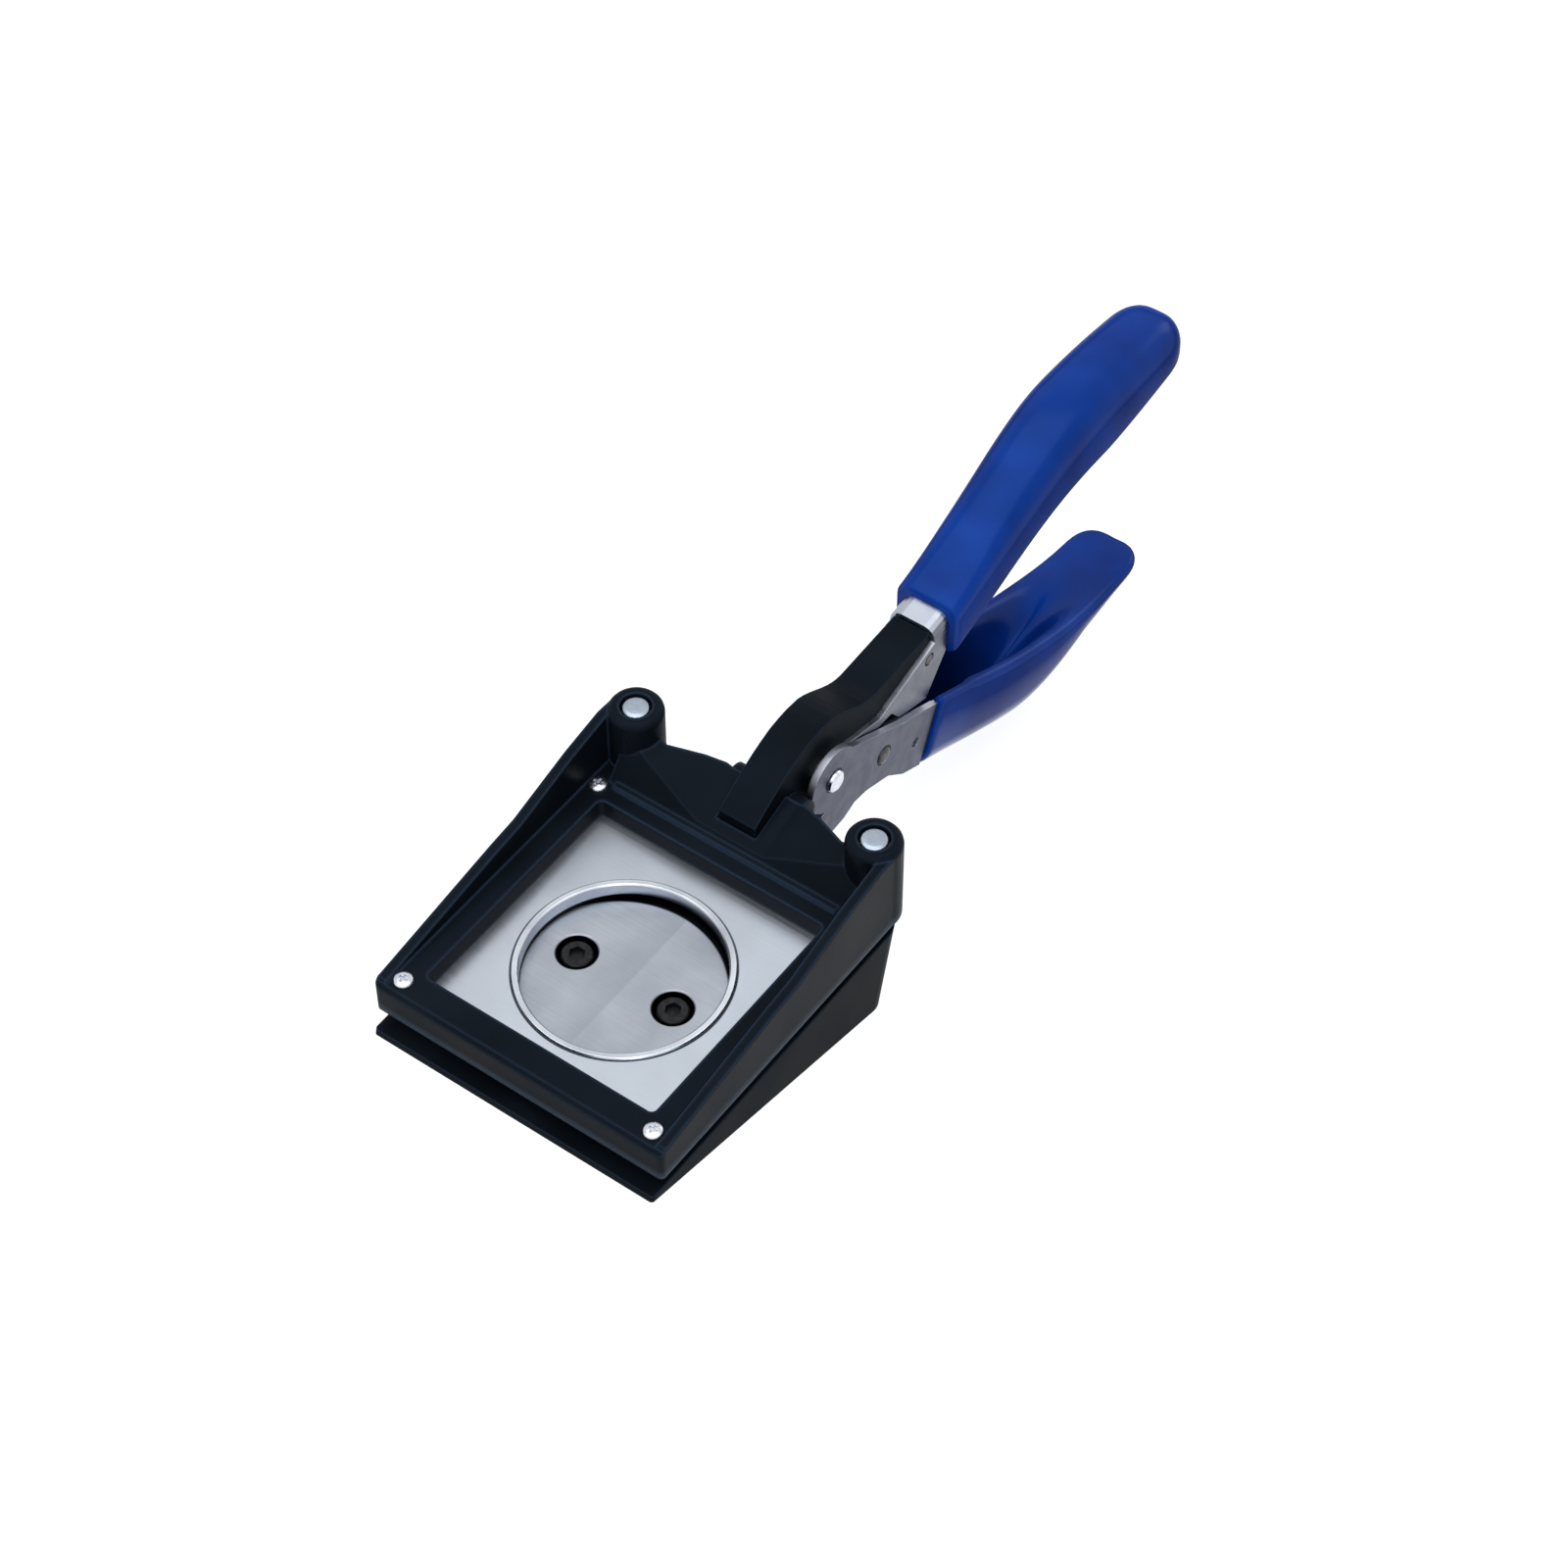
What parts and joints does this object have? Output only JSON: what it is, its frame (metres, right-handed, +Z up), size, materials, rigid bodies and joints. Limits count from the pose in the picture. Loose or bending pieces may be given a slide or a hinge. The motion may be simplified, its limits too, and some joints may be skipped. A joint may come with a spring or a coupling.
{
  "type": "badge circle cutter",
  "caption": "Hand circle cutter for button badges: wedge base with a round punch, a sliding die frame on guide posts and plier handles with blue dipped grips.",
  "frame": {"origin": "on the flat underside of the base, straight below the middle of the die's hole", "axes": "+Z up from the table, +Y from the hole to the handles, +X to the right seen from the thin front edge"},
  "size_m": [0.0918, 0.2821, 0.1224],
  "materials": {
    "black_casting": "satin",
    "ground_steel": "ground",
    "bright_steel": "polished",
    "black_steel": "black oxide",
    "handle_steel": "zinc plated",
    "lever_steel": "dull plated",
    "spring_steel": "bright drawn",
    "bearing_bronze": "turned",
    "blue_vinyl": "gloss"
  },
  "bodies": {
    "base": {"base_casting": "black_casting", "punch": "ground_steel", "punch_screws": "black_steel", "punch_dowels": "bright_steel", "guide_posts": "bright_steel", "return_spring_left": "spring_steel", "return_spring_right": "spring_steel", "upper_channel": "handle_steel", "upper_grip": "blue_vinyl", "arm_rivet": "handle_steel", "pivot_pin": "lever_steel", "pivot_clip": "black_steel"},
    "die_head": {"die_frame": "black_casting", "die_plate": "ground_steel", "die_ring": "bright_steel", "die_screws": "bright_steel", "guide_bushes": "bearing_bronze", "thrust_pin": "bright_steel"},
    "lever": {"lever_channel": "lever_steel", "thrust_tongue": "lever_steel", "tongue_rivet": "lever_steel", "tongue_spacers": "lever_steel", "lower_grip": "blue_vinyl"}
  },
  "joints": [
    {"name": "lever_pivot", "type": "hinge", "parent": "base", "child": "lever", "pos_m": [0, 0.07479, 0.0472], "axis": [1, 0, 0], "range_deg": [0, 12], "stiffness_Nm_per_rad": 1.5, "springref_deg": -10.31},
    {"name": "die_slide", "type": "slide", "parent": "base", "child": "die_head", "axis": [0, 0.2419, -0.9703], "range_m": [0, 0.00335], "deforming": ["return_spring_left", "return_spring_right"]}
  ],
  "couplings": [
    {"joint": "die_slide", "follows": "lever_pivot", "m_per_rad": 0.016}
  ]
}
